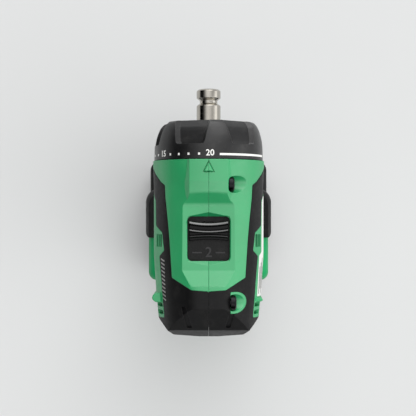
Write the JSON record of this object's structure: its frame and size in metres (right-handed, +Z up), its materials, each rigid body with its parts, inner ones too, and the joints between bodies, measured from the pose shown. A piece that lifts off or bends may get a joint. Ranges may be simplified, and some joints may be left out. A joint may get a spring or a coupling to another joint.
{
  "type": "cordless drill",
  "caption": "Compact green and black pistol-grip drill driver on a slide-in battery, with torque dial and bare hex-socket spindle nose",
  "frame": {"origin": "middle of the outline, on the surface the battery stands on", "axes": "+Z up; +Y forward along the spindle axis towards its nose; +X to the right of someone holding the drill"},
  "size_m": [0.076, 0.1234, 0.1915],
  "materials": {
    "green_shell": "fine grain",
    "black_rubber": "soft matt",
    "black_plastic": "fine grain",
    "dial_plastic": "satin",
    "steel": "machined",
    "cast_alloy": "cast",
    "lamination": "stacked sheet",
    "copper_winding": "enamelled wire",
    "circuit_board": "solder mask",
    "cell_wrap": "shrink sleeve",
    "lamp_lens": "clear",
    "nylon": "moulded"
  },
  "bodies": {
    "drill_body": {"left_housing": "green_shell", "right_housing": "green_shell", "left_overmould": "black_rubber", "right_overmould": "black_rubber", "left_grip_rubber": "black_rubber", "right_grip_rubber": "black_rubber", "foot_bumper": "black_rubber", "housing_screw_1": "steel", "housing_screw_2": "steel", "housing_screw_3": "steel", "housing_screw_4": "steel", "housing_screw_5": "steel", "housing_screw_6": "steel", "selector_plate": "black_plastic", "clutch_spring": "steel", "clutch_washer": "steel", "gear_case": "cast_alloy", "motor_bracket": "cast_alloy", "fixed_ring_gear": "steel", "spindle_bearing": "steel", "nose_ring": "cast_alloy", "stator": "lamination", "winding": "copper_winding", "rear_bearing": "steel", "front_bearing": "steel", "sensor_board": "circuit_board", "switch_body": "black_plastic", "control_board": "circuit_board", "terminal_block": "black_plastic", "led_lens": "lamp_lens", "led_board": "circuit_board"},
    "rotor_train": {"rotor": "lamination", "motor_shaft": "steel", "fan": "black_plastic", "first_planet_1": "steel", "first_planet_2": "steel", "first_planet_3": "steel", "first_carrier": "steel"},
    "spindle_train": {"spindle": "steel", "output_carrier": "steel", "spindle_clip": "steel"},
    "planet_1": {"second_planet_1": "steel"},
    "planet_2": {"second_planet_2": "steel"},
    "planet_3": {"second_planet_3": "steel"},
    "shift_ring": {"shift_ring_gear": "steel"},
    "selector": {"speed_selector": "black_plastic", "shift_yoke": "steel"},
    "dial": {"torque_dial": "dial_plastic"},
    "nut": {"clutch_nut": "nylon"},
    "trigger": {"trigger": "black_plastic"},
    "lever": {"direction_lever": "black_plastic"},
    "battery": {"battery_lower_case": "black_plastic", "battery_upper_case": "black_plastic", "battery_cell_1": "cell_wrap", "battery_cell_2": "cell_wrap", "battery_cell_3": "cell_wrap", "battery_board": "circuit_board"},
    "latch_left": {"battery_latch_left": "black_plastic"},
    "latch_right": {"battery_latch_right": "black_plastic"}
  },
  "joints": [
    {"name": "rotor_spin", "type": "hinge", "parent": "drill_body", "child": "rotor_train", "pos_m": [0, 0, 0.163], "axis": [0, 1, 0], "continuous": true},
    {"name": "spindle_spin", "type": "hinge", "parent": "drill_body", "child": "spindle_train", "pos_m": [0, 0, 0.163], "axis": [0, 1, 0], "continuous": true},
    {"name": "planet_spin_1", "type": "hinge", "parent": "spindle_train", "child": "planet_1", "pos_m": [0, 0.0114, 0.17182], "axis": [0, 1, 0], "continuous": true},
    {"name": "planet_spin_2", "type": "hinge", "parent": "spindle_train", "child": "planet_2", "pos_m": [-0.00764, 0.0114, 0.15859], "axis": [0, 1, 0], "continuous": true},
    {"name": "planet_spin_3", "type": "hinge", "parent": "spindle_train", "child": "planet_3", "pos_m": [0.00764, 0.0114, 0.15859], "axis": [0, 1, 0], "continuous": true},
    {"name": "dial_turn", "type": "hinge", "parent": "drill_body", "child": "dial", "pos_m": [0, 0.035, 0.163], "axis": [0, 1, 0], "range_deg": [-89, 211]},
    {"name": "clutch_nut_travel", "type": "slide", "parent": "dial", "child": "nut", "axis": [0, 1, 0], "range_m": [-0.00215, 0.00505], "deforming": ["clutch_spring"]},
    {"name": "speed_selector_slide", "type": "slide", "parent": "drill_body", "child": "selector", "axis": [0, 1, 0], "range_m": [-0.006, 0]},
    {"name": "shift_ring_slide", "type": "slide", "parent": "rotor_train", "child": "shift_ring", "axis": [0, 1, 0], "range_m": [-0.006, 0]},
    {"name": "trigger_pull", "type": "slide", "parent": "drill_body", "child": "trigger", "axis": [0, -1, 0], "range_m": [0, 0.007], "stiffness_N_per_m": 700, "springref_m": -0.002},
    {"name": "direction_lever_slide", "type": "slide", "parent": "drill_body", "child": "lever", "axis": [1, 0, 0], "range_m": [-0.003, 0.003]},
    {"name": "battery_slide", "type": "slide", "parent": "drill_body", "child": "battery", "axis": [0, 1, 0], "range_m": [0, 0.04]},
    {"name": "battery_latch_left_press", "type": "slide", "parent": "battery", "child": "latch_left", "axis": [1, 0, 0], "range_m": [0, 0.0025], "stiffness_N_per_m": 1200, "springref_m": -0.001},
    {"name": "battery_latch_right_press", "type": "slide", "parent": "battery", "child": "latch_right", "axis": [-1, 0, 0], "range_m": [0, 0.0025], "stiffness_N_per_m": 1200, "springref_m": -0.001}
  ],
  "couplings": [
    {"joint": "spindle_spin", "follows": "rotor_spin", "ratio": 0.21429},
    {"joint": "planet_spin_1", "follows": "rotor_spin", "ratio": -0.58929},
    {"joint": "planet_spin_2", "follows": "rotor_spin", "ratio": -0.58929},
    {"joint": "planet_spin_3", "follows": "rotor_spin", "ratio": -0.58929},
    {"joint": "clutch_nut_travel", "follows": "dial_turn", "m_per_rad": 0.00136},
    {"joint": "shift_ring_slide", "follows": "speed_selector_slide", "ratio": 1}
  ]
}
